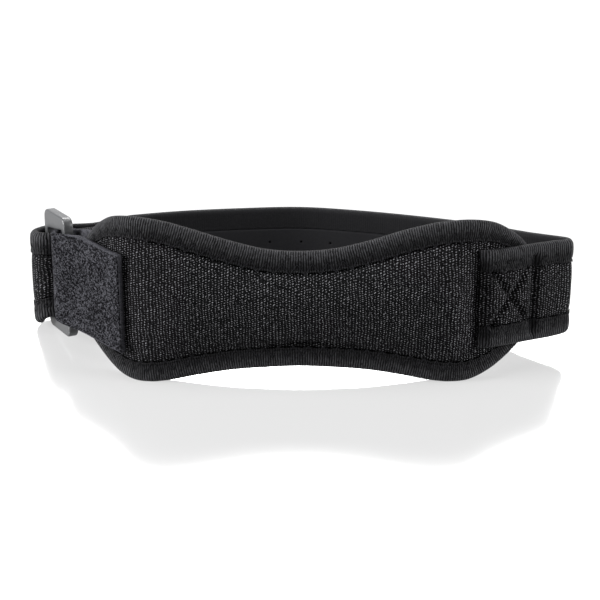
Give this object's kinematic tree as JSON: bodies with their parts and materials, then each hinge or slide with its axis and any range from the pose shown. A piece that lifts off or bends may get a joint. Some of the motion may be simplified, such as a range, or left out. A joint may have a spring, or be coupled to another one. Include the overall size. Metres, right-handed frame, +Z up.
{
  "type": "patella strap",
  "caption": "Knee strap standing as a closed loop: padded bow-tie front panel, narrow band behind, rectangular ring and a fastening tab closed on the panel.",
  "frame": {"origin": "middle of the bounding box on the surface that the strap stands on", "axes": "+X across the knee from the ring end to the sewn end as the front is seen, +Y from the front panel to the back of the loop, +Z up"},
  "size_m": [0.1968, 0.0718, 0.0587],
  "materials": {
    "panel_knit": "black looped knit over foam, matt, with grey points where the loops catch the light",
    "band_knit": "black looped knit outside and smooth perforated black knit inside, matt",
    "edge_tape": "black elastic edge tape with fine ribs across it and a zigzag seam",
    "tab_pile": "charcoal brushed pile of the fastening tab, fine and irregular",
    "ring_plastic": "dark grey moulded plastic, satin, with rounded edges"
  },
  "bodies": {
    "root": {"front_pad": "panel_knit", "pad_binding": "edge_tape", "strap_band": "band_knit", "strap_binding_upper": "edge_tape", "strap_binding_lower": "edge_tape", "buckle_ring": "ring_plastic", "hook_tab": "tab_pile"}
  },
  "joints": []
}
